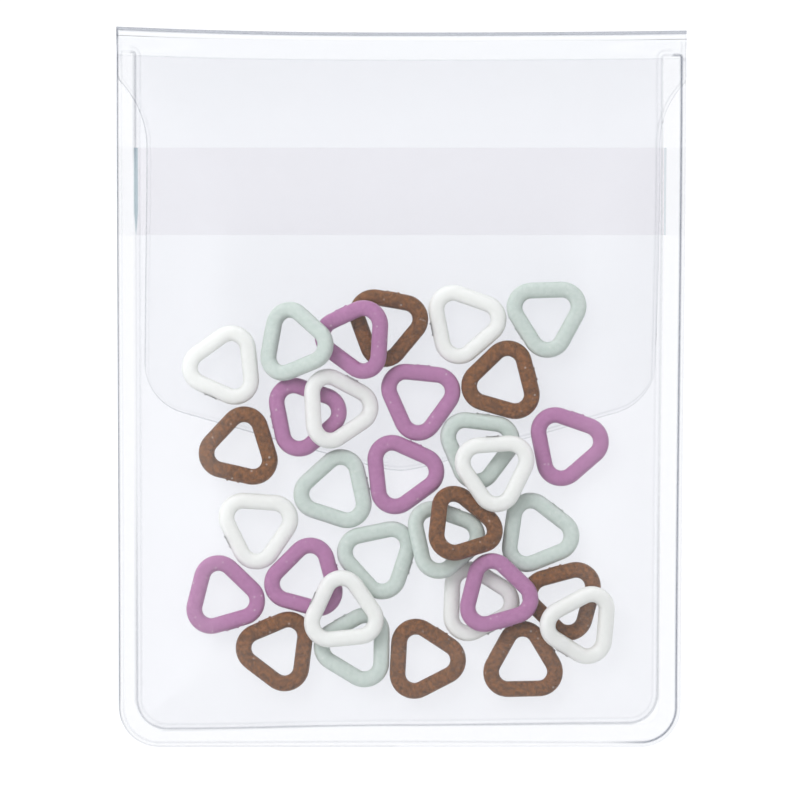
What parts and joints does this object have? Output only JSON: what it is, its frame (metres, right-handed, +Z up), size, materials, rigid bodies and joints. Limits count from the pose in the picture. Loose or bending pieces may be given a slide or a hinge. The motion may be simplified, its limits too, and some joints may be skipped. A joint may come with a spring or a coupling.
{
  "type": "stitch marker set",
  "caption": "Flat clear vinyl pouch with a tongue flap tucked under a strap, filled with loose round-cornered triangular ring stitch markers.",
  "frame": {"origin": "middle of the pouch's outline, on the surface that the pouch lies on", "axes": "+Y along the pouch towards the fold of its flap, +X across its width, +Z up out of the marker side"},
  "size_m": [0.075, 0.0944, 0.0085],
  "materials": {
    "clear_film": "clear, glossy and flexible vinyl film",
    "white_ring": "soft moulded plastic, satin",
    "mint_ring": "soft moulded plastic, satin",
    "mauve_ring": "soft moulded plastic, semi-gloss",
    "brown_ring": "soft moulded plastic, satin, finely mottled"
  },
  "bodies": {
    "root": {"back_sheet": "clear_film", "front_sheet": "clear_film", "strap": "clear_film"},
    "flap": {"flap": "clear_film"},
    "white_marker_1": {"white_marker_1": "white_ring"},
    "mint_marker_1": {"mint_marker_1": "mint_ring"},
    "mauve_marker_1": {"mauve_marker_1": "mauve_ring"},
    "brown_marker_1": {"brown_marker_1": "brown_ring"},
    "white_marker_2": {"white_marker_2": "white_ring"},
    "mint_marker_2": {"mint_marker_2": "mint_ring"},
    "brown_marker_2": {"brown_marker_2": "brown_ring"},
    "mauve_marker_2": {"mauve_marker_2": "mauve_ring"},
    "mauve_marker_3": {"mauve_marker_3": "mauve_ring"},
    "white_marker_3": {"white_marker_3": "white_ring"},
    "brown_marker_3": {"brown_marker_3": "brown_ring"},
    "mauve_marker_4": {"mauve_marker_4": "mauve_ring"},
    "mint_marker_3": {"mint_marker_3": "mint_ring"},
    "white_marker_4": {"white_marker_4": "white_ring"},
    "mauve_marker_5": {"mauve_marker_5": "mauve_ring"},
    "mint_marker_4": {"mint_marker_4": "mint_ring"},
    "brown_marker_4": {"brown_marker_4": "brown_ring"},
    "mint_marker_5": {"mint_marker_5": "mint_ring"},
    "mint_marker_6": {"mint_marker_6": "mint_ring"},
    "white_marker_5": {"white_marker_5": "white_ring"},
    "mint_marker_7": {"mint_marker_7": "mint_ring"},
    "mauve_marker_6": {"mauve_marker_6": "mauve_ring"},
    "mauve_marker_7": {"mauve_marker_7": "mauve_ring"},
    "white_marker_6": {"white_marker_6": "white_ring"},
    "mint_marker_8": {"mint_marker_8": "mint_ring"},
    "brown_marker_5": {"brown_marker_5": "brown_ring"},
    "brown_marker_6": {"brown_marker_6": "brown_ring"},
    "white_marker_7": {"white_marker_7": "white_ring"},
    "mauve_marker_8": {"mauve_marker_8": "mauve_ring"},
    "brown_marker_7": {"brown_marker_7": "brown_ring"},
    "brown_marker_8": {"brown_marker_8": "brown_ring"},
    "white_marker_8": {"white_marker_8": "white_ring"}
  },
  "joints": [
    {"name": "flap_fold", "type": "hinge", "parent": "root", "child": "flap", "pos_m": [0, 0.04605, 0.00155], "axis": [1, 0, 0], "range_deg": [0, 178], "deforming": ["flap"]},
    {"name": "white_marker_1_slide", "type": "slide", "parent": "root", "child": "white_marker_1", "axis": [-0.5, 0.866, 0], "range_m": [0, 0.006]},
    {"name": "mint_marker_1_slide", "type": "slide", "parent": "root", "child": "mint_marker_1", "axis": [-0.259, 0.9659, 0], "range_m": [0, 0.006]},
    {"name": "mauve_marker_1_slide", "type": "slide", "parent": "root", "child": "mauve_marker_1", "axis": [0.2495, 0.9383, 0.2396], "range_m": [0, 0.005]},
    {"name": "brown_marker_1_slide", "type": "slide", "parent": "root", "child": "brown_marker_1", "axis": [-0.259, 0.9659, 0], "range_m": [0, 0.006]},
    {"name": "white_marker_2_lift", "type": "slide", "parent": "root", "child": "white_marker_2", "axis": [0, 0, 1], "range_m": [0, 0.0044]},
    {"name": "mint_marker_2_slide", "type": "slide", "parent": "root", "child": "mint_marker_2", "axis": [0.5, 0.866, 0], "range_m": [0, 0.006]},
    {"name": "brown_marker_2_lift", "type": "slide", "parent": "root", "child": "brown_marker_2", "axis": [0, 0, 1], "range_m": [0, 0.0044]},
    {"name": "mauve_marker_2_lift", "type": "slide", "parent": "root", "child": "mauve_marker_2", "axis": [0, 0, 1], "range_m": [0, 0.0044]},
    {"name": "mauve_marker_3_slide", "type": "slide", "parent": "root", "child": "mauve_marker_3", "axis": [0.866, 0.5, 0], "range_m": [0, 0.0003]},
    {"name": "white_marker_3_slide", "type": "slide", "parent": "root", "child": "white_marker_3", "axis": [0.7071, -0.7071, 0], "range_m": [0, 0.001]},
    {"name": "brown_marker_3_slide", "type": "slide", "parent": "root", "child": "brown_marker_3", "axis": [-1, 0, 0], "range_m": [0, 0.0055]},
    {"name": "mauve_marker_4_slide", "type": "slide", "parent": "root", "child": "mauve_marker_4", "axis": [0.866, 0.5, 0], "range_m": [0, 0.0055]},
    {"name": "mint_marker_3_slide", "type": "slide", "parent": "root", "child": "mint_marker_3", "axis": [0.7071, -0.7071, 0], "range_m": [0, 0.0016]},
    {"name": "white_marker_4_slide", "type": "slide", "parent": "root", "child": "white_marker_4", "axis": [0.866, 0.5, 0], "range_m": [0, 0.006]},
    {"name": "mauve_marker_5_lift", "type": "slide", "parent": "root", "child": "mauve_marker_5", "axis": [0, 0, 1], "range_m": [0, 0.0044]},
    {"name": "mint_marker_4_lift", "type": "slide", "parent": "root", "child": "mint_marker_4", "axis": [0, 0, 1], "range_m": [0, 0.0044]},
    {"name": "brown_marker_4_slide", "type": "slide", "parent": "root", "child": "brown_marker_4", "axis": [-0.7071, 0.7071, 0], "range_m": [0, 0.0004]},
    {"name": "mint_marker_5_slide", "type": "slide", "parent": "root", "child": "mint_marker_5", "axis": [-0.6808, -0.6808, 0.2703], "range_m": [0, 0.0002]},
    {"name": "mint_marker_6_slide", "type": "slide", "parent": "root", "child": "mint_marker_6", "axis": [0.866, 0.5, 0], "range_m": [0, 0.002]},
    {"name": "white_marker_5_slide", "type": "slide", "parent": "root", "child": "white_marker_5", "axis": [-0.7071, 0.7071, 0], "range_m": [0, 0.0015]},
    {"name": "mint_marker_7_slide", "type": "slide", "parent": "root", "child": "mint_marker_7", "axis": [0.5, -0.866, 0], "range_m": [0, 0.002]},
    {"name": "mauve_marker_6_slide", "type": "slide", "parent": "root", "child": "mauve_marker_6", "axis": [-0.7071, 0.7071, 0], "range_m": [0, 0.0055]},
    {"name": "mauve_marker_7_slide", "type": "slide", "parent": "root", "child": "mauve_marker_7", "axis": [0.9659, -0.259, 0], "range_m": [0, 0.0003]},
    {"name": "white_marker_6_slide", "type": "slide", "parent": "root", "child": "white_marker_6", "axis": [-1, 0, 0], "range_m": [0, 0.006]},
    {"name": "mint_marker_8_slide", "type": "slide", "parent": "root", "child": "mint_marker_8", "axis": [0, -1, 0], "range_m": [0, 0.0025]},
    {"name": "brown_marker_5_slide", "type": "slide", "parent": "root", "child": "brown_marker_5", "axis": [-0.866, -0.5, 0], "range_m": [0, 0.0045]},
    {"name": "brown_marker_6_slide", "type": "slide", "parent": "root", "child": "brown_marker_6", "axis": [0.7071, -0.7071, 0], "range_m": [0, 0.002]},
    {"name": "white_marker_7_slide", "type": "slide", "parent": "root", "child": "white_marker_7", "axis": [0.9659, 0.259, 0], "range_m": [0, 0.0002]},
    {"name": "mauve_marker_8_slide", "type": "slide", "parent": "root", "child": "mauve_marker_8", "axis": [-0.5, -0.866, 0], "range_m": [0, 0.0055]},
    {"name": "brown_marker_7_slide", "type": "slide", "parent": "root", "child": "brown_marker_7", "axis": [0.7071, -0.7071, 0], "range_m": [0, 0.0012]},
    {"name": "brown_marker_8_slide", "type": "slide", "parent": "root", "child": "brown_marker_8", "axis": [0.866, 0.5, 0], "range_m": [0, 0.0004]},
    {"name": "white_marker_8_slide", "type": "slide", "parent": "root", "child": "white_marker_8", "axis": [0.259, -0.9659, 0], "range_m": [0, 0.004]}
  ]
}
